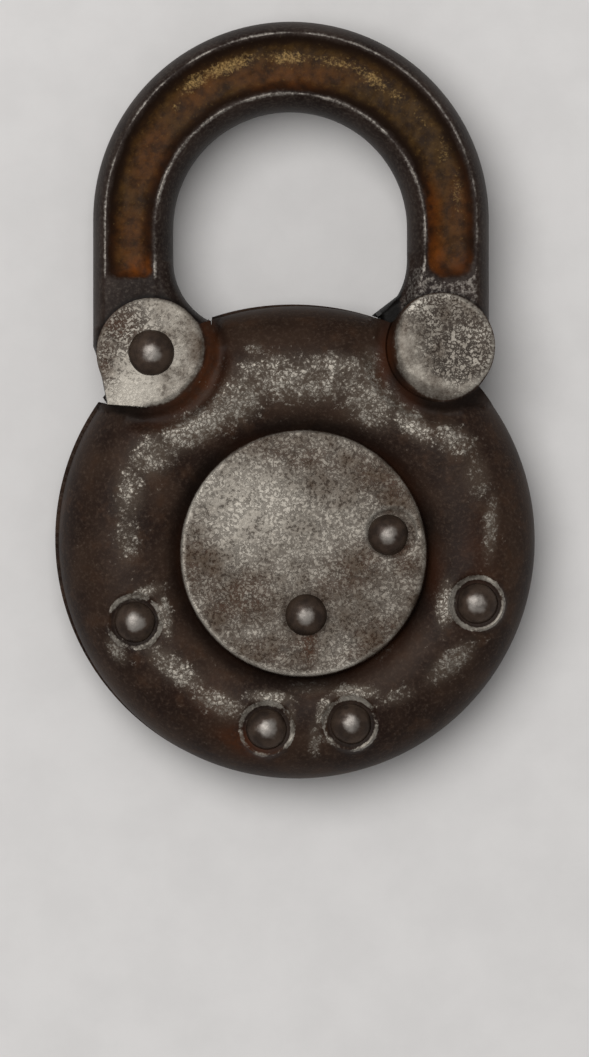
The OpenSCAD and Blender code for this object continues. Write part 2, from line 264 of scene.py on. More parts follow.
def edge_distance(x, y, loop):
    """Signed distance to a closed outline, positive inside."""
    p = np.stack([x, y], 1)
    a, b = np.asarray(loop), np.roll(np.asarray(loop), -1, 0)
    best = np.full(len(p), 1e9)
    inside = np.zeros(len(p), bool)
    for q, r in zip(a, b):
        d = r - q
        t = np.clip(((p - q) @ d) / max(d @ d, 1e-12), 0, 1)
        best = np.minimum(best, ((p - q - t[:, None] * d) ** 2).sum(1))
        cross = (q[1] > p[:, 1]) != (r[1] > p[:, 1])
        if cross.any():
            met = (r[0] - q[0]) * (p[cross, 1] - q[1]) / (r[1] - q[1]) + q[0]
            inside[cross] ^= p[cross, 0] < met
    return np.where(inside, 1, -1) * np.sqrt(best)


def arc(centre, r, start, end, spacing):
    n = max(int(abs(math.radians(end - start)) * r / spacing), 4)
    a = np.radians(np.linspace(start, end, n + 1))
    return np.stack([centre[0] + r * np.cos(a), centre[1] + r * np.sin(a)], 1)


def circle(centre, r, spacing):
    return arc(centre, r, 0, 360, spacing)[:-1]


def evened(loop, spacing):
    """The same closed outline with points about spacing apart, corners kept."""
    out = []
    for a, b in zip(np.asarray(loop), np.roll(np.asarray(loop), -1, 0)):
        n = max(int(round(np.linalg.norm(b - a) / spacing)), 1)
        out += [a + (b - a) * k / n for k in range(n)]
    return np.array(out)


def honeycomb(box, spacing):
    x0, y0, x1, y1 = box
    rows = np.arange(y0, y1, spacing * 0.866)
    return np.concatenate([np.stack([xs, np.full_like(xs, y)], 1) for k, y in enumerate(rows)
                           for xs in [np.arange(x0 + (k % 2) * spacing / 2, x1, spacing)]])


def thinned(points, keep_off, gap):
    """points without those nearer than gap to a point of keep_off."""
    taken = set()
    for p in keep_off:
        i, j = int(p[0] // gap), int(p[1] // gap)
        taken.update((i + a, j + b) for a in (-1, 0, 1) for b in (-1, 0, 1))
    close = np.array([(int(p[0] // gap), int(p[1] // gap)) not in taken for p in points])
    return points[close]


def triangles(loop, fill):
    points = [Vector(p) for p in np.concatenate([loop, fill])]
    n = len(loop)
    verts, _, faces, *_ = delaunay_2d_cdt(
        points, [(i, (i + 1) % n) for i in range(n)], [], 1, 1e-7)
    verts = np.array([tuple(v) for v in verts])
    a, b, c = (verts[[f[k] for f in faces]] for k in range(3))
    flip = ((b - a)[:, 0] * (c - a)[:, 1] - (b - a)[:, 1] * (c - a)[:, 0]) < 0
    faces = [tuple(reversed(f)) if w else tuple(f) for f, w in zip(faces, flip)]
    return verts, faces


def new_piece(name, verts_mm, faces):
    mesh = bpy.data.meshes.new(name)
    mesh.from_pydata((np.asarray(verts_mm) * MM).tolist(), [], faces)
    mesh.validate()
    obj = bpy.data.objects.new(name, mesh)
    scene.collection.objects.link(obj)
    return obj


def relief(name, loop, top_fill, top_height, under_fill, under_height):
    """A closed body over one outline: a surface of given height above, another below."""
    upper, upper_faces = triangles(loop, top_fill)
    lower, lower_faces = triangles(loop, under_fill)
    n, up = len(loop), len(upper)
    verts = np.concatenate([
        np.column_stack([upper, top_height(upper[:, 0], upper[:, 1])]),
        np.column_stack([lower, under_height(lower[:, 0], lower[:, 1])])])
    faces = list(upper_faces) + [tuple(up + i for i in reversed(f)) for f in lower_faces]
    faces += [(up + i, up + (i + 1) % n, (i + 1) % n, i) for i in range(n)]
    return new_piece(name, verts, faces)


def prism(outline, z0, z1):
    """A temporary cutting solid over an outline that runs anticlockwise."""
    outline = [tuple(p) for p in outline]
    area = sum(a[0] * b[1] - a[1] * b[0] for a, b in zip(outline, outline[1:] + outline[:1]))
    if area < 0:
        outline.reverse()
    n = len(outline)
    verts = [(x, y, z0) for x, y in outline] + [(x, y, z1) for x, y in outline]
    faces = [tuple(range(n - 1, -1, -1)), tuple(range(n, 2 * n))]
    faces += [(i, (i + 1) % n, n + (i + 1) % n, n + i) for i in range(n)]
    return new_piece("cutter", verts, faces)


def carve(obj, cutters):
    """Cuts solids out of obj one after the other, and removes them."""
    for cutter in cutters:
        m = obj.modifiers.new("cut", "BOOLEAN")
        m.operation, m.solver, m.object = "DIFFERENCE", "MANIFOLD", cutter
        done = bpy.data.meshes.new_from_object(
            obj.evaluated_get(bpy.context.evaluated_depsgraph_get()))
        obj.modifiers.clear()
        old, name = obj.data, obj.data.name
        obj.data = done
        bpy.data.meshes.remove(old)
        done.name = name
        mesh = cutter.data
        bpy.data.objects.remove(cutter)
        bpy.data.meshes.remove(mesh)


def box_outline(x, y, w, h):
    return [(x, y), (x + w, y), (x + w, y + h), (x, y + h)]


def shackle_room(side, shift):
    """The space inside a shell for the shackle's ends, as cutting solids."""
    def level(top):
        return (HALF - 1, HALF + top) if side > 0 else (HALF - top, HALF + 1)
    turn = math.radians(SWING)
    swung = [(HEEL[0] + px * math.cos(turn) - py * math.sin(turn),
              HEEL[1] + px * math.sin(turn) + py * math.cos(turn))
             for px, py in box_outline(-EYE_ROOM, 1.2, 6, 13)]
    sector = [HEEL] + [tuple(p) for p in arc(HEEL, EYE_ROOM, 168.4, 274.1, 0.5)]
    middle = (-shift, shift / 2)
    outside = [tuple(p) for p in arc(middle, CASE_R + 0.02, 25, 155, 0.4)] + \
        [tuple(p) for p in arc(middle, 40, 155, 25, 2)]
    full = [circle(HEEL, 5.65, 0.4), sector, swung, box_outline(-23.6, 21.2, 13.98, 12),
            [(-9.62, 26), (-9.62, 24.2), (-11, 18.8), (-16, 21), (-16, 26)],
            circle((17.15, 21.5), 5.1, 0.4), box_outline(12, 21.5, 10.3, 12),
            [(12, 22), (12, 16.7), (17, 16.5), (21, 22)], outside]
    hook = [box_outline(9.1, 22.4, 4.3, 10), box_outline(9.1, 18, 3.8, 4.8)]
    return [prism(o, *level(LID_Z)) for o in full] + [prism(o, *level(4.2)) for o in hook]


def dip(x, y):
    """How far the case's outline lies inside its round, along the top between the ears."""
    return 0.42 * np.exp(-((np.degrees(np.arctan2(y, x)) - 90) / 28)**2)


def beyond_ear(x, y, p, r):
    """Distance outside an ear's flat face, which is trimmed where its side slopes more gently."""
    off = away(x, y, p) - r
    turn = np.arctan2(y - p[1], x - p[0])
    if p[0] < 0:
        lean = 0.6 * np.clip(np.cos(turn + math.radians(42)), 0, 1)**3
    else:
        lean = 0.9 * np.clip(np.cos(turn - math.radians(192)), 0, 1)**2
    return off + lean * (1 - step(off, -0.6, 2.0))


def shell_height(x, y, shift, wear=1.0):
    """Height of a shell's outer face above the plane where the shells meet."""
    ring = np.hypot(x + shift, y - shift / 2)
    ring = ring + dip(x, y) * step(ring, 17, 25)
    bulge = 0.1 + np.sqrt(np.clip(BULGE_R**2 - (ring - BULGE_AT)**2, 0, None))
    disc = away(x, y, DISC)
    out_from_disc = np.clip(disc - DISC_R - 0.15, 0, None)
    across = out_from_disc / (out_from_disc + np.clip(BULGE_AT - ring, 0, None) + 1e-6)
    inner = MOAT_Z + (BULGE_R + 0.1 - MOAT_Z) * (1 - (1 - across)**2.3)
    z = np.where(ring < BULGE_AT, inner, bulge)
    z = z + wear * 0.05 * rough(x, y, 5.5, 3)
    for p, r in EARS:
        off = beyond_ear(x, y, p, r)
        valley = step(off, 0.2, 1.1) * (1 - step(off, 1.5, 3.2))
        z = z - valley * np.clip(z - 6.1, 0, 0.9)
        wall = np.interp(off, [-0.45, -0.2, 0, 0.25, 0.7, 1.3, 2.1, 2.9, 60],
                         [HALF, HALF - 0.05, HALF - 0.16, HALF - 0.6, 6.6, 6.0, 4.4, 0.2, -90])
        z = np.where(off < -0.45, HALF, soft_max(z, wall, 0.35))
    tongue = edge_distance(x, y, CORNER)
    lifted = np.interp(tongue, [-0.12, 0.02, 0.1], [-9, HALF - 0.25, HALF])
    z = np.where(tongue > 0.1, HALF, np.maximum(z, lifted))
    bevel = step(-(x - TOE[0]) - 0.62 * (y - TOE[1]), 0.5, 5.0)
    z = z - 0.55 * bevel * step(away(x, y, TOE), 4.2, 6.3) * (away(x, y, TOE) < EAR_R)
    for p in RIM:
        d = away(x, y, p)
        z = z + (SEAT_Z - z) * (1 - step(d, SEAT_R - 0.12, SEAT_R + 0.42))
        z = z + 0.2 * np.exp(-((d - SEAT_R + 0.06) / 0.22)**2)
    edge = np.interp(disc, [0, DISC_R - 0.32, DISC_R - 0.1, DISC_R, DISC_R + 0.18, 60],
                     [HALF, HALF, HALF - 0.08, HALF - 0.3, MOAT_Z, -90])
    z = np.maximum(z, edge)
    return z


def hollow_height(x, y):
    ring, disc = np.hypot(x, y), away(x, y, DISC)
    z = 0.1 + np.sqrt(np.clip((BULGE_R - SHEET)**2 - (ring - BULGE_AT)**2, 0, None))
    z = np.where(ring < BULGE_AT, np.maximum(z, MOAT_Z - SHEET), z)
    z = np.where(disc < DISC_R - SHEET, HALF - SHEET, z)
    z = np.where(ring > INNER_R, 0, z)
    for p in RIM:
        z = np.where(away(x, y, p) < SEAT_R, np.minimum(z, SEAT_Z - SHEET), z)
    return z


def case_outline(spacing, shift):
    """The outline of a shell with its ears, seen from above, anticlockwise."""
    out = []
    for a in np.radians(np.arange(0, 360, math.degrees(spacing / CASE_R))):
        ray = np.array([math.cos(a), math.sin(a)])
        across = ray @ np.array([-shift, shift / 2])
        reach = across + math.sqrt(CASE_R**2 - 1.25 * shift**2 + across**2) - 0.003
        reach -= float(dip(ray[0], ray[1]))
        for p, r in EARS:
            along = ray @ np.array(p)
            off = r * r - (p[0]**2 + p[1]**2 - along**2)
            if off > 0 and along > 0:
                reach = max(reach, along + math.sqrt(off))
        for (ax, ay), (bx, by) in zip(CORNER, CORNER[1:]):
            cross = ray[0] * (by - ay) - ray[1] * (bx - ax)
            if abs(cross) > 1e-9:
                t = (ax * (by - ay) - ay * (bx - ax)) / cross
                s = (ax * ray[1] - ay * ray[0]) / cross
                if 0 <= s <= 1 and t > 0:
                    reach = max(reach, t)
        out.append(ray * reach)
    return np.array(out)


def shell_points(loop, spacing):
    """Points over a shell, closer where its form turns sharply: rim, disc, ears and seats."""
    near = spacing * 0.9
    lines = []
    for inset in (0.02, 0.07, 0.16, 0.3, 0.48, 0.7):
        shrunk = loop * (1 - inset / np.hypot(loop[:, 0], loop[:, 1]))[:, None]
        lines.append(shrunk[::2] if inset > 0.4 else shrunk)
    for r in (DISC_R - 0.32, DISC_R - 0.1, DISC_R, DISC_R + 0.18):
        lines.append(circle(DISC, r, near))
    for p, r in EARS:
        lines += [circle(p, r + dr, near) for dr in (-0.45, -0.2, 0, 0.2, 0.35)]
    for p in RIM:
        lines += [circle(p, SEAT_R + dr, near) for dr in (-0.4, -0.22, -0.06, 0.1, 0.3, 0.5)]
    middle = np.mean(CORNER, 0)
    for grow in (1.042, 1.0, 0.965):
        lines.append(evened([middle + (np.array(c) - middle) * grow for c in CORNER], near))
    lines = np.concatenate(lines)
    lines = lines[edge_distance(lines[:, 0], lines[:, 1], loop) > 0.012]
    fill = honeycomb((-28, -28, 28, 30), spacing)
    fill = fill[edge_distance(fill[:, 0], fill[:, 1], loop[::4]) > 0.75]
    return np.concatenate([lines, thinned(fill, lines, spacing * 0.8)])


def make_shell(name, side, shift, spacing, wear):
    loop = case_outline(spacing, shift)
    over = shell_points(loop, spacing)
    inner = [circle((0, 0), INNER_R - d, 0.6) for d in (0, 0.01, 0.06, 0.2, 0.45, 0.8, 1.3)]
    inner += [circle(DISC, DISC_R - SHEET + d, 0.6) for d in (0.01, -0.01)]
    inner = np.concatenate(inner)
    rest = honeycomb((-25, -25, 25, 25), 0.8)
    rest = rest[np.hypot(rest[:, 0], rest[:, 1]) < 24.0]
    under = np.concatenate([inner, thinned(rest, inner, 0.3)])

    def top(x, y):
        z = shell_height(x, y, shift, wear)
        for fx, fy, r, depth in DENTS:
            z = z - wear * depth * np.exp(-((x - fx)**2 + (y - fy)**2) / r**2)
        z = z - wear * 0.22 * (1 - step(away(x, y, DISH), 2.55, 3.0))
        return np.clip(z + wear * 0.018 * rough(x, y, 0.9, 11, 2), 0.05, HALF)

    obj = relief(name, loop, over, top, under, hollow_height)
    for v in obj.data.vertices:
        v.co.z = HALF * MM + side * v.co.z
    if side < 0:
        obj.data.flip_normals()
    carve(obj, shackle_room(side, shift))
    return obj


# Shallow dents: middle, radius and depth
DENTS = ((-5, -3, 4, 0.05), (5, -12, 3, 0.05), (16.9, 22.6, 3.5, 0.16),
         (-9, 3, 3, 0.05), (3, 9, 4, 0.04))
front = make_shell("case_front_shell", side=1, shift=0.0, spacing=0.24, wear=1.0)
rivet_holes = [(HEEL, 2.02), (LEVER_POST, 1.27), (DOG_POST, 1.22)] + [(p, 1.17) for p in RIM]
carve(front, [prism(circle(p, r, 0.3), -1, 18) for p, r in rivet_holes])


def face_places(obj):
    co = np.array([v.co for v in obj.data.vertices]) / MM
    return co[:, 0], co[:, 1], co[:, 2]


def put(obj, name, values):
    layer = obj.data.attributes.new(name, "FLOAT", "POINT")
    layer.data.foreach_set("value", np.clip(values, 0, 1).astype(np.float32))


def patches(x, y, spots):
    """Sum of soft oval spots: middle, half lengths, turn in degrees and amount of each."""
    total = np.zeros_like(x)
    for px, py, rx, ry, turn, amount in spots:
        c, s = math.cos(math.radians(turn)), math.sin(math.radians(turn))
        u, v = (x - px) * c + (y - py) * s, -(x - px) * s + (y - py) * c
        total = np.maximum(total, amount * np.exp(-((u / rx)**2 + (v / ry)**2)**1.3))
    return total


# Soft oval spots (middle, half lengths, turn, amount): where the high places are rubbed bare,
# where rust stains them, and how the ears and the disc vary
WORN = (
    (0.5, 18.2, 9.6, 3.0, 0, 0.7), (-6.8, 16.0, 4.0, 2.8, 32, 0.86),
    (8.4, 15.8, 4.2, 3.2, -40, 0.74), (-3.5, 19.4, 4.6, 1.8, 5, 0.66),
    (4.5, 19.8, 4.6, 1.6, -5, 0.7), (-4.8, 21.6, 1.2, 1.0, 0, 0.5),
    (-11.4, 12.8, 5.4, 2.1, 30, 0.84), (-16.4, 9.6, 3.2, 2.5, 45, 0.74),
    (-18.9, 5.5, 1.9, 3.8, -8, 0.64), (-19.2, 0.3, 1.7, 3.6, 0, 0.52),
    (13.0, 13.2, 3.6, 1.6, -40, 0.76), (17.6, 11.4, 3.2, 2.0, -30, 0.62),
    (20.4, 7.2, 1.8, 3.6, 14, 0.46), (21.9, 1.4, 1.0, 4.4, -4, 0.62),
    (8.0, 19.4, 1.8, 2.6, -20, 0.6), (-13.6, -14.6, 5.0, 1.6, -38, 0.72),
    (-9.0, -18.2, 3.6, 1.5, -22, 0.76), (-20.3, -12.4, 2.0, 1.1, -55, 0.62),
    (17.4, -13.8, 3.9, 1.5, 40, 0.68), (9.6, -12.8, 2.4, 0.7, 38, 0.5),
    (-14.9, -8.6, 0.9, 2.8, 8, 0.8), (-17.1, -5.9, 2.8, 0.8, 20, 0.66),
    (16.8, -7.2, 1.2, 3.0, -6, 0.8), (-3.0, -17.7, 2.9, 0.9, -4, 0.84),
    (6.6, -17.1, 2.9, 0.9, 0, 0.88), (1.4, -16.6, 3.0, 1.0, 0, 0.5),
    (2.0, -22.4, 0.9, 2.4, 0, 0.5), (11.4, -17.6, 2.6, 1.2, 20, 0.45),
    (3.0, -19.4, 0.9, 2.2, -20, 0.66), (3.6, -22.6, 1.3, 0.5, -20, 0.45),
    (-0.6, -19.6, 0.7, 1.6, 10, 0.5),
)
STAINS = (
    (-8.6, 20.4, 1.5, 4.4, 10, 0.3), (-10.4, 17.2, 3.6, 1.6, 42, 0.6),
    (-5.6, -22.9, 3.4, 1.5, -20, 0.9), (-20.6, 24.0, 2.6, 2.2, 30, 0.6),
    (-21.6, 20.5, 1.4, 2.8, 0, 0.6), (-11.2, 21.8, 1.2, 3.4, -10, 0.3),
    (9.6, 6.6, 4.5, 2.6, -40, 0.6), (6.5, -3.0, 5.0, 2.4, 30, 0.6),
    (-6.5, -6.4, 4.2, 3.2, 10, 0.7), (1.2, -11.6, 1.3, 2.6, 0, 1.0), (0.5, 9.5, 7.0, 1.8, -8, 0.5),
    (-10.8, -2.6, 2.4, 4.4, 10, 0.6), (-14.5, 13.6, 4.0, 1.2, 20, 0.3),
    (20.5, -2.0, 2.0, 5.0, 0, 0.25), (15.5, -3.5, 1.2, 3.5, 0, 0.4),
    (8.2, -11.6, 4.4, 2.4, 30, 0.55), (-10.2, -17.8, 3.0, 1.8, -30, 0.3),
    (10.0, 20.6, 1.1, 3.6, -4, 0.8), (12.4, 16.4, 2.2, 1.1, -50, 0.5),
    (-2.5, -12.6, 5.0, 1.8, -8, 0.5), (12.0, -1.6, 1.8, 3.2, 10, 0.6),
)
CRESCENT = (
    (12.2, 21.6, 1.9, 4.2, 6, 1.0), (13.3, 18.9, 1.8, 2.8, 35, 1.0),
    (15.6, 17.4, 3.2, 1.2, -14, 1.0), (19.2, 17.4, 2.4, 0.7, 24, 0.8),
)
EAR_SHINE = (
    (-18.9, 17.4, 3.4, 2.7, 25, 1.0), (-19.6, 19.2, 1.6, 2.4, 0, 0.6),
    (-16.2, 26.2, 3.4, 0.9, 4, 0.12), (-13.4, 19.0, 1.8, 3.4, 0, 0.35),
)
EAR_PITS = ((-19.6, 24.2, 3.4, 4.0, 40, 1.0), (-21.4, 20.4, 1.6, 3.4, 0, 0.9))
EAR_SHADE = ((-10.9, 21.6, 2.1, 5.2, 0, 1.0), (-13.0, 17.6, 2.0, 2.6, 40, 0.6))
# The disc's first spot, over its upper left, is a painted sheen; the others are tone that differs
# from place to place.
DISC_SHEEN_AND_TONES = (
    (-5.5, 3.5, 6.5, 6.0, 20, 0.5), (2.0, 1.5, 7.5, 5.0, 0, 0.24), (-2.0, -3.5, 5.0, 3.5, 0, 0.16),
    (5.0, -12.0, 4.0, 2.0, 10, 0.16), (4.0, 9.5, 4.5, 2.5, -10, 0.16),
    (-3.0, -12.0, 4.0, 1.6, -25, 0.12),
)


def shell_wear(obj, side, strength):
    """Stores where a shell is bare and stained, where it is darkened by grime and painted shade,
    and where light is painted on its edges and walls.
    """
    x, y, z = face_places(obj)
    up = (z - HALF) * side
    outer = step(up - shell_height(x, y, 0.0, 0.0), -0.45, -0.2)
    disc = away(x, y, DISC)
    heel, toe = (beyond_ear(x, y, p, r) for p, r in EARS)
    on_disc = 1 - step(disc, DISC_R - 0.15, DISC_R + 0.05)
    on_heel = np.maximum(1 - step(heel, -0.25, 0.12),
                         (edge_distance(x, y, CORNER) > 0) * (up > 7.0))
    on_toe = 1 - step(toe, -0.3, 0.1)
    plain = (1 - on_disc) * (1 - on_heel) * (1 - on_toe)
    stain_and_painted_light = patches(x, y, STAINS)
    crescent = patches(x, y, CRESCENT)
    pitted_ear, shaded_ear = patches(x, y, EAR_PITS), patches(x, y, EAR_SHADE)
    bare = plain * patches(x, y, WORN) * strength + on_disc * 0.95 + on_heel * 1.0 + on_toe * 0.95
    put(obj, "bare", bare * outer)
    put(obj, "polish", np.maximum.reduce([on_disc, on_heel, on_toe]) * outer)
    rims = sum(1 - step(np.abs(away(x, y, p) - SEAT_R + 0.06), 0.12, 0.38) for p in RIM)
    rims = rims * np.clip(0.62 + 0.75 * rough(x, y, 2.2, 83, 2), 0.12, 1)
    disc_lip = 1 - step(np.abs(disc - DISC_R + 0.25), 0.08, 0.3)
    # Painted highlight: the disc's lip is lighter and rubbed barer on its lower left, as an edge
    # catching the light.
    lip_highlight_side = step(-(x - DISC[0]) - (y - DISC[1]), -6, 8)
    ear_lip = (1 - step(np.abs(toe + 0.3), 0.08, 0.3)) * step(x + y - 34, 0, 5)
    dish_lip = 1 - step(np.abs(away(x, y, DISH) - 2.95), 0.08, 0.35)
    # The tone carries painted light as well: the disc's sheen, the lit lower left of its lip, and
    # painted shade where the heel's ear rounds over.
    put(obj, "tone", plain * (0.6 + 0.1 * rims) + 0.45 * disc_lip * lip_highlight_side + 0.3 * ear_lip
        + 0.25 * on_disc * dish_lip
        + on_disc * (0.33 + patches(x, y, DISC_SHEEN_AND_TONES) - 0.16 * stain_and_painted_light)
        + on_heel * (0.62 + 0.4 * patches(x, y, EAR_SHINE) - 0.2 * stain_and_painted_light - 0.3 * shaded_ear
                     - 0.08 * pitted_ear)
        + on_toe * (0.46 - 0.04 * crescent))
    put(obj, "pitted", plain * 0.35 + on_disc * (0.45 + 0.3 * stain_and_painted_light)
        + on_heel * (0.2 + 0.7 * pitted_ear) + on_toe * 0.82 * (1.0 - 0.95 * crescent))
    # Painted shade: the groove round the disc, the foot of the ears' walls, thin rings round the
    # rivet heads and the shell's inner faces are darkened as if in shade.
    groove = step(disc, DISC_R, DISC_R + 0.15) * (1 - step(disc, DISC_R + 0.6, DISC_R + 2.4))
    # Painted light and shade on the heel ear's wall: painted dark on the side away from the lamp,
    # painted rust-brown and lit on the side toward it, with a dark line at that side's foot.
    lit = np.clip(np.cos(np.arctan2(y - HEEL[1], x - HEEL[0]) + math.radians(18)), 0, 1)**1.5
    wall = step(heel, 0.0, 0.25) * (1 - on_heel)
    foot = np.maximum.reduce([
        wall * (1 - step(heel, 1.1, 2.4)) * (1 - 0.85 * lit),
        wall * lit * np.exp(-((heel - 2.1) / 0.45)**2),
        step(toe, 0.0, 0.25) * (1 - step(toe, 0.8, 2.1))])
    stain_and_painted_light = np.maximum(stain_and_painted_light, 0.85 * wall * lit * (1 - step(heel, 1.2, 2.0)))
    seats = sum(1 - step(np.abs(away(x, y, p) - 2.45), 0.08, 0.32) for p in RIM)
    ends = sum(step(away(x, y, p), 2.2, 2.4) * (1 - step(away(x, y, p), 2.5, 3.1))
               for p in (LEVER_POST, DOG_POST))
    put(obj, "stain_and_painted_light", stain_and_painted_light * outer)
    put(obj, "grime_and_painted_shade", np.maximum.reduce([groove * 0.9, foot * 0.95, seats * 0.85, ends * 0.4,
                                         (1 - outer) * 0.8]))
    put(obj, "edge", (rims + disc_lip * (0.25 + 0.7 * lip_highlight_side)) * outer)


shell_wear(front, 1, 1.0)


def shell_steel(name):
    """Old pressed steel: brown-black skin, speckled bare metal where the skin is rubbed off."""
    f = Finish(name)
    bare, stain_and_painted_light, tone = f.attribute("bare"), f.attribute("stain_and_painted_light"), f.attribute("tone")
    grime_and_painted_shade, edge = f.attribute("grime_and_painted_shade"), f.attribute("edge")
    polish, pitted = f.attribute("polish"), f.attribute("pitted")
    coarse, fine, speck = f.grain(1.6, 5, 0.65), f.grain(0.42, 4, 0.7), f.grain(0.2, 2, 0.6)
    broad, cloud, crumbs = f.grain(7.0, 3, 0.55), f.grain(2.8, 5, 0.6), f.crumbs(0.6)

    skin = f.blend(f.ramp(broad, 0.35, 0.65), linear(31, 20, 15), linear(48, 35, 27))
    skin = f.blend(f.ramp(cloud, 0.5, 0.7, 0.0, 0.7), skin, linear(56, 39, 28))
    skin = f.blend(f.ramp(fine, 0.45, 0.78, 0.0, 0.55), skin, linear(78, 64, 54))
    # Painted sheen: the brown skin is lightened to grey-brown round the rubbed places, a soft
    # highlight along the ring's crest.
    painted_sheen = f.times(f.ramp(bare, 0.05, 0.85, 0.0, 0.6), f.rest(polish))
    skin = f.blend(painted_sheen, skin, linear(88, 78, 68))
    # Rust stains, together with the painted lit side of the heel ear's wall, turn the skin rust
    # brown.
    skin = f.blend(f.times(stain_and_painted_light, f.ramp(coarse, 0.25, 0.6)), skin, linear(66, 34, 14))

    # bare metal runs from brownish to light grey with its tone, mottled by two grains
    wander = f.plus(f.spread(cloud, 0.5, 1.6), f.spread(fine, 0.5, f.ramp(polish, 0, 1, 1.0, 0.6)))
    shade = f.ramp(f.plus(tone, wander), 0.0, 1.15)
    steel = f.blend(shade, linear(62, 53, 45), linear(160, 155, 146))
    rusty = f.times(stain_and_painted_light, f.ramp(coarse, 0.35, 0.6))
    steel = f.blend(f.times(rusty, 0.5), steel, linear(70, 55, 42))
    flecks = f.times(f.ramp(fine, 0.52, 0.7), f.ramp(crumbs, 0.12, 0.3))
    flecks = f.times(flecks, f.ramp(tone, 0.3, 1.0, 0.15, 0.8))
    flecks = f.times(flecks, f.ramp(polish, 0, 1, 1.0, 0.65))
    steel = f.blend(flecks, steel, linear(204, 196, 182))

    # skin is left in the cracks of rubbed places, and in pits that wander over the flat ones
    mottle = f.plus(f.times(coarse, 0.5), f.times(fine, 0.5))
    level = f.plus(bare, f.spread(mottle, 0.51, 3.2))
    level = f.plus(level, f.times(edge, 1.3))
    cracks = f.times(f.ramp(crumbs, 0.14, 0.03), f.ramp(edge, 0.3, 0.9, 0.8, 0.15))
    rubbed = f.times(f.ramp(level, 0.34, 0.8), f.rest(cracks))
    reach = f.plus(cloud, f.times(pitted, 0.14))
    worms = f.times(f.crinkle(0.62, 0.0036), f.ramp(reach, 0.44, 0.6))
    pit = f.most(worms, f.ramp(fine, 0.46, 0.36))
    pit = f.times(pit, pitted)
    flat = f.times(f.ramp(level, 0.05, 0.5), f.rest(pit))
    shown = f.choose(polish, rubbed, flat)

    colour = f.blend(shown, skin, steel)
    # Grime and painted shade darken the colour to near black, or rust brown where stained, in the
    # hollows and round the rivet heads.
    colour = f.blend(f.times(grime_and_painted_shade, f.ramp(coarse, 0.2, 0.8, 0.8, 1.0)), colour,
                     f.blend(f.times(stain_and_painted_light, 0.8), linear(17, 11, 8), linear(60, 29, 11)))
    rise = f.choose(polish, f.times(f.ramp(crumbs, 0.0, 0.22), bare), f.rest(pit))
    height = f.plus(f.times(fine, 0.5), f.times(rise, 0.7))
    relief_height = f.bump(height, 0.09, 0.7)
    relief_height = f.bump(speck, 0.02, 0.35, relief_height)
    return f.surface(
        Base_Color=colour, Metallic=f.ramp(shown, 0, 1, 0.0, 0.5), Specular_IOR_Level=0.08,
        Roughness=f.plus(f.ramp(shown, 0, 1, 0.5, 0.46), f.ramp(fine, 0, 1, -0.06, 0.06)),
        Normal=relief_height)


def smooth_faces(obj, angle):
    mesh = obj.data
    mesh.polygons.foreach_set("use_smooth", [True] * len(mesh.polygons))
    mesh.set_sharp_from_angle(angle=math.radians(angle))


def dress(obj, material, angle):
    """Gives a piece its finish, smooth but for edges sharper than angle."""
    obj.data.materials.clear()
    obj.data.materials.append(material)
    smooth_faces(obj, angle)


case_steel = shell_steel("worn_case_steel")
dress(front, case_steel, 50)
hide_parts("front_shell")
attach(front, "case")

# ---------------------------------------------------------------- back shell
# The same pressing turned over, which the lock lies on. It sits a little to the left of the
# other one, and its disc has the round keyhole with a slot for the key's bit.

KEY_R, SLOT_LENGTH, SLOT_WIDTH = 3.6, 14.2, 3
back = make_shell("case_back_shell", side=-1, shift=0.4, spacing=0.42, wear=0.6)
key_cut = [prism(circle((0, 0), KEY_R, 0.25), -1, 5),
           prism(box_outline(-SLOT_LENGTH / 2, -SLOT_WIDTH / 2, SLOT_LENGTH, SLOT_WIDTH), -1, 5)]
carve(back, key_cut + [prism(circle(p, r, 0.3), -1, 18) for p, r in rivet_holes])
shell_wear(back, -1, 0.8)
dress(back, case_steel, 50)
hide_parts("back_shell")
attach(back, "case")

# ---------------------------------------------------------------- shackle
# A malleable iron casting: a bow with a sunk panel along each face between two thin raised
# ridges, sides that taper for the mould, an eye on the heel rivet and a notched toe.

# The bow's outer and inner arcs, the flares inside its feet, and the rounds of its two ends
BOW_X, BOW_OUT_Y, BOW_OUT_R = -0.65, 36.4, 22.44
BOW_IN_X, BOW_IN_Y, BOW_IN_R = BOW_X - 0.1, 35.3, 13.25
LEFT_OUT, LEFT_IN = BOW_X - BOW_OUT_R, BOW_IN_X - BOW_IN_R
RIGHT_OUT, RIGHT_IN = BOW_X + BOW_OUT_R, BOW_IN_X + BOW_IN_R
FOOT_R, FOOT_Y, PANEL_END, SHACKLE_HALF = 7.7, 31.7, 29.6, 5.5
LEFT_FOOT, RIGHT_FOOT = (LEFT_IN + FOOT_R, FOOT_Y), (RIGHT_IN - FOOT_R, FOOT_Y)
EYE_R, TOE_R = 5.2, 4.65
TOE_END = (RIGHT_OUT - TOE_R, 21.5)
HEEL_CORNER = [(LEFT_OUT, 22.0), (-22.5, 20.4), (-21.6, 19.2)]
FOOT_CORNER = [(-11.45, 19.4), (-9.69, 24.9)]
LUG_TIP = [(8.5, 25.5), (9.2, 25.25), (9.2, 23.4), (12.5, 23.4), (12.55, 18.0)]


def shackle_outline(spacing):
    parts = [arc((BOW_X, BOW_OUT_Y), BOW_OUT_R, 0, 180, spacing), HEEL_CORNER,
             arc(HEEL, EYE_R, 215, 330, spacing), FOOT_CORNER,
             arc(LEFT_FOOT, FOOT_R, 239, 180, spacing),
             arc((BOW_IN_X, BOW_IN_Y), BOW_IN_R, 180, 0, spacing),
             arc(RIGHT_FOOT, FOOT_R, 360, 329, spacing), LUG_TIP,
             arc(TOE_END, TOE_R, 235, 360, spacing)]
    return evened(np.concatenate([np.asarray(p, float) for p in parts]), spacing)


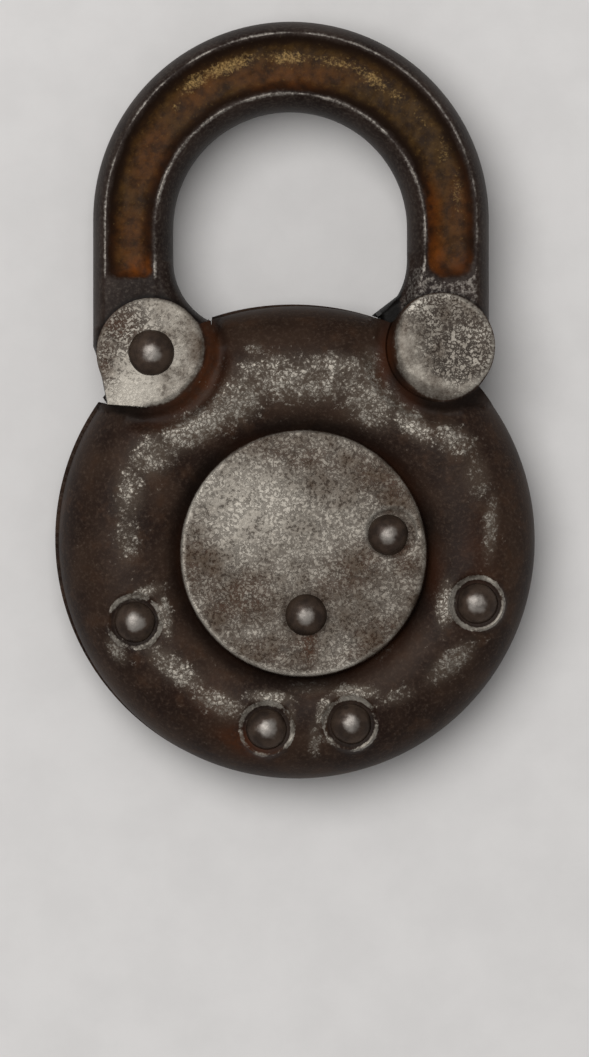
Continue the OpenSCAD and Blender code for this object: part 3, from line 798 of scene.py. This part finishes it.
def bow_insets(x, y):
    """Distance in from the outer edge and from the inner edge of the bow and its legs."""
    out = np.where(y > BOW_OUT_Y, BOW_OUT_R - np.hypot(x - BOW_X, y - BOW_OUT_Y),
                   np.minimum(x - LEFT_OUT, RIGHT_OUT - x))
    inn = np.where(y > BOW_IN_Y, np.hypot(x - BOW_IN_X, y - BOW_IN_Y) - BOW_IN_R,
                   np.where(x < 0, LEFT_IN - x,
                            x - RIGHT_IN + 1.1 * step(-y, -32, -26.5) * step(y, 24.6, 25.4)))
    return out, inn


def panel_inset(x, y):
    """How far inside the sunk panel's border a place is."""
    out, inn = bow_insets(x, y)
    crinkle = 0.07 * rough(x, y, 1.3, 31, 2)
    across = soft_min(out - 1.62 + crinkle, inn - 2.2 + 1.6 * crinkle, 0.3)
    end = y - PANEL_END + 2 * crinkle
    return np.where(x < 0, soft_min(across, end, 1.1), soft_min(across, end, 2.6))


loop = shackle_outline(0.26)


def shackle_height(x, y):
    out, inn = bow_insets(x, y)
    d = edge_distance(x, y, loop)
    taper_out = np.interp(out, [0, 0.04, 0.15, 0.4, 0.8, 1.15, 1.42],
                          [0, 1.4, 2.6, 3.8, 4.75, 5.3, 5.5])
    taper_in = np.interp(inn, [0, 0.05, 0.2, 0.6, 1.2, 1.65, 2.0],
                         [0, 1.4, 2.5, 3.7, 4.7, 5.25, 5.5])
    taper_foot = np.interp(d, [0, 0.04, 0.15, 0.5, 1.0, 1.5], [0, 2.2, 3.4, 4.5, 5.0, 5.3])
    foot = (y < FOOT_Y) & (x < 0) & (x > LEFT_IN - 2.4)
    z = soft_min(taper_out, np.where(foot, soft_max(taper_in, taper_foot, 0.2), taper_in), 0.12)
    lug = (x > 0) & (x < RIGHT_IN + 1.0) & (y < FOOT_Y + 1)
    lug_z = np.interp(d, [0, 0.05, 0.3, 0.7], [0, 2.6, 3.6, 3.95])
    z = np.where(lug, np.maximum(np.where(inn > 0, z, -9), lug_z), z)
    ends = (y < 24.2) & ~lug
    z = np.where(ends, np.interp(d, [0, 0.05, 0.4, 0.9], [0, 3.2, 4.6, 5.3]), z)
    depth = np.clip(panel_inset(x, y) / 2.5, 0, 1)
    z = z - 1.0 * (1 - (1 - depth)**2.6)
    z = z + 0.05 * rough(x, y, 2.4, 51) * step(d, 0.1, 0.8)
    z = z + 0.03 * rough(x, y, 0.7, 57, 2) * step(d, 0.1, 0.8)
    return np.clip(np.minimum(z, SHACKLE_HALF), 0, None)


def shackle_points(spacing):
    """Points over the shackle, closer along its edges, ridges and flares."""
    lines = []

    def along_bow(x0, y0, low, r):
        lines.append(arc((x0, y0), r, 0, 180, spacing))
        ys = np.arange(low, y0, spacing)
        lines.extend(np.column_stack([np.full_like(ys, x0 + side * r), ys]) for side in (-1, 1))

    for inset in (0.04, 0.15, 0.4, 0.8, 1.15, 1.42, 1.62, 1.85, 2.1):
        along_bow(BOW_X, BOW_OUT_Y, 22, BOW_OUT_R - inset)
    for inset in (0.05, 0.2, 0.6, 1.2, 1.65, 2.0, 2.2, 2.45, 2.7):
        along_bow(BOW_IN_X, BOW_IN_Y, FOOT_Y, BOW_IN_R + inset)
    for inset in (0.04, 0.15, 0.35, 0.6, 1.0):
        lines.append(arc(LEFT_FOOT, FOOT_R + inset, 180, 239, spacing))
        lines.append(arc(RIGHT_FOOT, FOOT_R + inset, 302, 360, spacing))
    lines = np.concatenate(lines)
    lines = lines[edge_distance(lines[:, 0], lines[:, 1], loop) > 0.025]
    fill = honeycomb((-24, 15, 23, 60), spacing)
    fill = fill[edge_distance(fill[:, 0], fill[:, 1], loop) > 0.2]
    return np.concatenate([lines, thinned(fill, lines, spacing * 0.8)])


face_fill = shackle_points(0.26)
shackle = relief("shackle_casting", loop, face_fill, shackle_height, face_fill,
                 lambda x, y: -shackle_height(x, y) - 0.02)
for v in shackle.data.vertices:
    v.co.z += HALF * MM
carve(shackle, [prism(box_outline(11, 18.9, 4.7, 3.6), -1, 18),
                prism(circle(HEEL, 2.05, 0.3), -1, 18)])
x, y, z = face_places(shackle)
out, inn = bow_insets(x, y)
inset = panel_inset(x, y)
top = step(np.abs(z - HALF), 3.0, 4.2)
put(shackle, "panel", step(inset, 0.0, 0.35) * top)
# Painted shade: the sunk panel is darker towards its walls, as if the steep sides of the channel
# were in shade.
put(shackle, "middle", step(inset, 0.3, 2.0) * top)
waver = 0.72 + 0.45 * rough(x, y, 2.2, 71, 2)
ridge_out = (1 - step(np.abs(out - 1.42), 0.06, 0.24)) * waver
ridge_in = (1 - step(np.abs(inn - 2.0), 0.08, 0.3)) * waver
legs = step(y, PANEL_END - 1.0, PANEL_END + 1)
ridges = np.maximum(ridge_out * 0.85, ridge_in * (0.8 + 0.2 * step(-x, -4, 6)))
put(shackle, "ridge", ridges * top * legs)
land = (1 - step(inset, -0.3, 0.0)) * (1 - step(y, PANEL_END + 0.5, PANEL_END + 3)) * top
land = land * step(out, 1.0, 1.5) * step(inn, -0.2, 0.6)
put(shackle, "land", land * np.where(x > 0, 0.85, 0.35))
GLOW = (
    (-17.5, 30.8, 2.4, 1.6, 0, 1.0), (15.6, 32.0, 1.5, 3.4, 0, 1.0),
    (15.4, 37.0, 1.3, 4.0, 5, 0.8), (18.4, 31.4, 2.2, 1.6, 0, 0.6),
    (18.2, 37.0, 2.0, 5.0, 0, 0.35), (-18.6, 34.0, 2.2, 4.0, 0, 0.45),
    (-16.5, 43.5, 1.8, 4.5, -22, 0.5), (-11.0, 50.5, 1.6, 4.5, -50, 0.4),
    (-1.5, 52.5, 8.0, 1.6, 0, 0.5),
)
put(shackle, "glow", patches(x, y, GLOW) * top)
# Painted highlights: pale gold flecks along the bottom of the sunk panel near the top of the bow,
# where it would catch the light.
PAINTED_GOLD_HIGHLIGHTS = (
    (-7.8, 53.6, 3.6, 0.9, 20, 1.0), (-11.5, 51.8, 2.0, 0.9, 30, 0.9),
    (-1.0, 54.6, 2.4, 0.9, 0, 0.9), (4.5, 54.0, 2.8, 0.7, -12, 0.7),
    (8.4, 52.3, 2.6, 0.8, -32, 0.85), (11.2, 50.4, 1.5, 0.6, -40, 0.6),
    (16.6, 44.0, 0.7, 1.8, 0, 0.5), (18.2, 39.0, 0.6, 2.6, 5, 0.5),
    (14.2, 47.5, 0.7, 1.8, 35, 0.35), (-13.6, 49.0, 0.6, 0.6, 0, 0.6),
)
put(shackle, "painted_gold_highlight", patches(x, y, PAINTED_GOLD_HIGHLIGHTS) * top)
# Painted shadow: the toe's lug goes black where the case shades it, and a dark line runs round the
# shackle beside each ear.
lug = (inn < 0.25) & (x > 5) & (y < FOOT_Y - 1)
ear_contact_shadow = np.maximum(0.85 * np.exp(-((away(x, y, HEEL) - 6.25) / 0.4)**2),
                     0.75 * np.exp(-((away(x, y, TOE) - 6.1) / 0.3)**2))
put(shackle, "dark", np.maximum(np.where(lug, step(-y, -30.0, -28.0), 0), ear_contact_shadow))

iron = Finish("cast_iron_with_rust")
panel, middle, ridge = iron.attribute("panel"), iron.attribute("middle"), iron.attribute("ridge")
land_a, glow, painted_gold_highlight = iron.attribute("land"), iron.attribute("glow"), iron.attribute("painted_gold_highlight")
coarse, fine, speck = iron.grain(1.5, 5, 0.6), iron.grain(0.4, 4, 0.7), iron.grain(0.2, 2, 0.6)
broad = iron.grain(6.0, 3, 0.5)
skin = iron.blend(iron.ramp(broad, 0.35, 0.65), linear(31, 23, 20), linear(45, 36, 32))
skin = iron.blend(iron.ramp(fine, 0.42, 0.75, 0, 0.4), skin, linear(88, 80, 73))
rust = iron.blend(iron.ramp(coarse, 0.35, 0.68), linear(36, 22, 8), linear(62, 43, 18))
rust = iron.blend(iron.ramp(fine, 0.5, 0.75, 0, 0.5), rust, linear(84, 63, 32))
# Painted shade: the rust goes nearly black towards the panel's walls.
rust = iron.blend(iron.ramp(middle, 0.0, 0.9), linear(26, 15, 8), rust)
rust = iron.blend(iron.times(glow, iron.ramp(coarse, 0.2, 0.75)), rust, linear(96, 50, 12))
# Painted highlight: pale gold flecks in the panel, tinted like its rust.
painted_gold_glints = iron.plus(painted_gold_highlight, iron.spread(fine, 0.53, 2.6))
painted_gold_glints = iron.times(iron.ramp(painted_gold_glints, 0.25, 1.2), iron.ramp(speck, 0.4, 0.62, 0.45, 0.9))
rust = iron.blend(painted_gold_glints, rust, linear(148, 121, 76))
colour = iron.blend(panel, skin, rust)
bright = iron.blend(iron.ramp(fine, 0.35, 0.7), linear(74, 68, 63), linear(140, 135, 129))
ridge_level = iron.plus(ridge, iron.spread(fine, 0.5, 0.6))
land_level = iron.plus(land_a, iron.spread(fine, 0.55, 2.6))
land_shown = iron.times(iron.ramp(land_level, 0.45, 1.0), land_a)
ridge_shown = iron.ramp(ridge_level, 0.2, 0.85)
colour = iron.blend(iron.times(land_shown, 0.62), colour, bright)
colour = iron.blend(ridge_shown, colour, bright)
bare = iron.most(ridge_shown, land_shown)
# Painted shadow: near black on the lug and beside the ears.
colour = iron.blend(iron.attribute("dark"), colour, linear(9, 7, 6))
iron_normal = iron.bump(fine, 0.07, 0.5)
iron_normal = iron.bump(speck, 0.02, 0.3, iron_normal)
iron_mat = iron.surface(
    Base_Color=colour, Metallic=iron.ramp(bare, 0, 1, 0.0, 0.5), Specular_IOR_Level=0.07,
    Roughness=iron.plus(iron.ramp(bare, 0, 1, 0.48, 0.42), iron.ramp(fine, 0, 1, -0.06, 0.06)),
    Normal=iron_normal)
dress(shackle, iron_mat, 60)
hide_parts("shackle")
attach(shackle, "shackle")

# ---------------------------------------------------------------- rivets
# Seven steel rivets set from the front: round shanks with hand-hammered domes above, and
# ends closed flush or in a low dome on the hidden face.

# Place, head radius and height, height of the seat, shank radius, and whether domed below
RIVETS = [(HEEL, 2.64, 1.6, HALF, 2.0, 0), (LEVER_POST, 2.4, 1.6, HALF, 1.25, 0),
          (DOG_POST, 2.3, 1.6, HALF, 1.2, 0)] + [(p, 2.35, 1.6, SEAT_Z, 1.15, 1) for p in RIM]

hammered = Finish("hammered_rivet_steel")
coarse, fine = hammered.grain(1.8, 4, 0.6), hammered.grain(0.35, 4, 0.7)
crown_wear_and_highlight = hammered.attribute("crown_wear_and_highlight")
skin = hammered.blend(hammered.ramp(coarse, 0.35, 0.65), linear(46, 35, 28),
                      linear(70, 56, 46))
# The dome's crown is lighter: partly rubbed bare, partly a painted highlight.
rub_and_highlight = hammered.ramp(hammered.plus(crown_wear_and_highlight, hammered.spread(coarse, 0.5, 1.6)), 0.45, 1.05)
skin = hammered.blend(rub_and_highlight, skin, linear(124, 119, 114))
skin = hammered.blend(hammered.ramp(fine, 0.55, 0.8, 0, 0.5), skin, linear(40, 30, 24))
rivet_mat = hammered.surface(
    Base_Color=skin, Metallic=0.6,
    Roughness=hammered.ramp(fine, 0.2, 0.8, 0.36, 0.5),
    Normal=hammered.bump(fine, 0.05, 0.45))

tree = bpy.data.node_groups.new("rivets", "GeometryNodeTree")
tree.interface.new_socket("Geometry", in_out="INPUT", socket_type="NodeSocketGeometry")
tree.interface.new_socket("Hammer marks", in_out="INPUT", socket_type="NodeSocketFloat")
tree.interface.new_socket("Mark size", in_out="INPUT", socket_type="NodeSocketFloat")
tree.interface.new_socket("Geometry", in_out="OUTPUT", socket_type="NodeSocketGeometry")


def gn(kind, inputs=None, **settings):
    n = tree.nodes.new(kind)
    for key, value in settings.items():
        setattr(n, key, value)
    for key, value in (inputs or {}).items():
        if isinstance(value, bpy.types.NodeSocket):
            tree.links.new(value, n.inputs[key])
        else:
            n.inputs[key].default_value = value
    return n


def result(kind, inputs=None, **settings):
    """The first output of a new node."""
    return gn(kind, inputs, **settings).outputs[0]


def named(name):
    n = gn("GeometryNodeInputNamedAttribute", {"Name": name}, data_type="FLOAT_VECTOR")
    return next(s for s in n.outputs if s.enabled and s.name == "Attribute")


group_in, group_out = gn("NodeGroupInput"), gn("NodeGroupOutput")


def half_ball(cut):
    """A closed unit dome, flat at z = 0: cut is MAXIMUM for one that points up."""
    ball = result("GeometryNodeMeshUVSphere", {"Segments": 64, "Rings": 48, "Radius": 1.0})
    parts = gn("ShaderNodeSeparateXYZ", {0: result("GeometryNodeInputPosition")}).outputs
    level = result("ShaderNodeMath", {0: parts["Z"], 1: 0.0}, operation=cut)
    place = result("ShaderNodeCombineXYZ", {0: parts["X"], 1: parts["Y"], 2: level})
    return result("GeometryNodeSetPosition", {"Geometry": ball, "Position": place})


shaft = result("GeometryNodeMeshCylinder", {"Vertices": 40, "Radius": 1.0, "Depth": 1.0})
cone = result("GeometryNodeMeshCone", {"Vertices": 40, "Radius Top": 0.6, "Radius Bottom": 1.0,
                                       "Depth": 1.0})
rest_point = result("GeometryNodeInputPosition")
joined = gn("GeometryNodeJoinGeometry")
for solid, part in ((half_ball("MAXIMUM"), "head"), (shaft, "shaft"), (cone, "end"),
                    (half_ball("MINIMUM"), "low")):
    moved = result("GeometryNodeSetPosition", {
        "Geometry": group_in.outputs[0], "Position": named(part + "_at")})
    placed = result("GeometryNodeInstanceOnPoints", {
        "Points": moved, "Instance": solid, "Scale": named(part + "_size")})
    real = result("GeometryNodeRealizeInstances", {"Geometry": placed})
    if part == "head":
        marks = result("ShaderNodeTexNoise", {
            "Vector": rest_point, "Scale": group_in.outputs[2], "Detail": 2.0})
        centred = result("ShaderNodeMath", {0: marks, 1: 0.5}, operation="SUBTRACT")
        amount = result("ShaderNodeMath", {0: centred, 1: group_in.outputs[1]},
                        operation="MULTIPLY")
        push = result("ShaderNodeVectorMath", {0: result("GeometryNodeInputNormal"),
                                               "Scale": amount}, operation="SCALE")
        real = result("GeometryNodeSetPosition", {"Geometry": real, "Offset": push})
    tree.links.new(real, joined.inputs[0])
dressed = result("GeometryNodeSetMaterial", {"Geometry": joined.outputs[0], "Material": rivet_mat})
tree.links.new(dressed, group_out.inputs[0])

seeds = bpy.data.meshes.new("case_rivets")
seeds.from_pydata([(p[0] * MM, p[1] * MM, 0) for p, *_ in RIVETS], [], [])
HEAD_SINK, COUNTERSINK, LOW_DOME = 0.3, 0.8, (2.3, 2.3, 0.7)
columns = {}
for (px, py), head_r, head_h, seat, shank_r, domed in RIVETS:
    end_r = shank_r if domed else shank_r + COUNTERSINK
    for key, row in (("head_at", (px, py, HALF + seat - HEAD_SINK)),
                     ("head_size", (head_r, head_r, head_h + 0.23)),
                     ("shaft_at", (px, py, HALF + 0.3)),
                     ("shaft_size", (shank_r, shank_r, 2 * seat - 0.2)),
                     ("end_at", (px, py, HALF - seat)),
                     ("end_size", (end_r, end_r, COUNTERSINK)),
                     ("low_at", (px, py, HALF - seat if domed else HALF)),
                     ("low_size", LOW_DOME if domed else (0.5, 0.5, 0.5))):
        columns.setdefault(key, []).append(row)
for key, rows in columns.items():
    layer = seeds.attributes.new(key, "FLOAT_VECTOR", "POINT")
    layer.data.foreach_set("vector", (np.array(rows, np.float32) * MM).ravel())
rivets = bpy.data.objects.new("case_rivets", seeds)
scene.collection.objects.link(rivets)
setter = rivets.modifiers.new("rivets", "NODES")
setter.node_group = tree
ids = {s.name: s.identifier for s in tree.interface.items_tree if s.in_out == "INPUT"}
setter[ids["Hammer marks"]] = 0.22 * MM
setter[ids["Mark size"]] = 1 / (2.0 * MM)
plain = bpy.data.meshes.new_from_object(
    rivets.evaluated_get(bpy.context.evaluated_depsgraph_get()))
rivets.modifiers.clear()
rivets.data = plain
bpy.data.meshes.remove(seeds)
plain.name = "case_rivets"
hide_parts("heel_rivet", "lever_rivet", "dog_rivet", "rim_rivet_left", "rim_rivet_right",
            "rim_rivet_lower_left", "rim_rivet_lower_right")
x, y, z = face_places(rivets)
near = np.min([away(x, y, p) for p, *_ in RIVETS], 0)
# Marks the crown of each dome, which is both rubbed and lit as a painted highlight.
put(rivets, "crown_wear_and_highlight", (1 - step(near, 0.3, 2.1)) * (z > HALF))
smooth_faces(rivets, 60)
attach(rivets, "case")

# ---------------------------------------------------------------- works inside
# Levers, spacers and the locking dog are stamped steel with a thin film of old oil; the springs
# are drawn wire and strip. They keep the shapes of the construction model.


def oiled_steel(name, dark, light, rust, brush):
    f = Finish(name)
    fine, coarse = f.grain(0.3, 4, 0.7, brush), f.grain(1.6, 4, 0.6)
    colour = f.blend(f.ramp(fine, 0.3, 0.7), linear(*dark), linear(*light))
    colour = f.blend(f.ramp(coarse, 0.56, 0.76, 0, 0.85), colour, linear(*rust))
    return f.surface(
        Base_Color=colour, Metallic=0.75, Roughness=f.ramp(coarse, 0.3, 0.75, 0.34, 0.6),
        Normal=f.bump(fine, 0.03, 0.3))


works = oiled_steel("oiled_stamped_steel", dark=(84, 80, 74), light=(122, 118, 110),
                    rust=(66, 44, 28), brush=(1, 0.35, 1))
wire = oiled_steel("spring_steel", dark=(70, 70, 74), light=(116, 116, 118),
                   rust=(60, 46, 36), brush=(1, 1, 0.3))
for name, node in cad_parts.items():
    if not node.hide_render:
        for slot in node.material_slots:
            slot.link = "OBJECT"
            slot.material = wire if "spring" in name else works
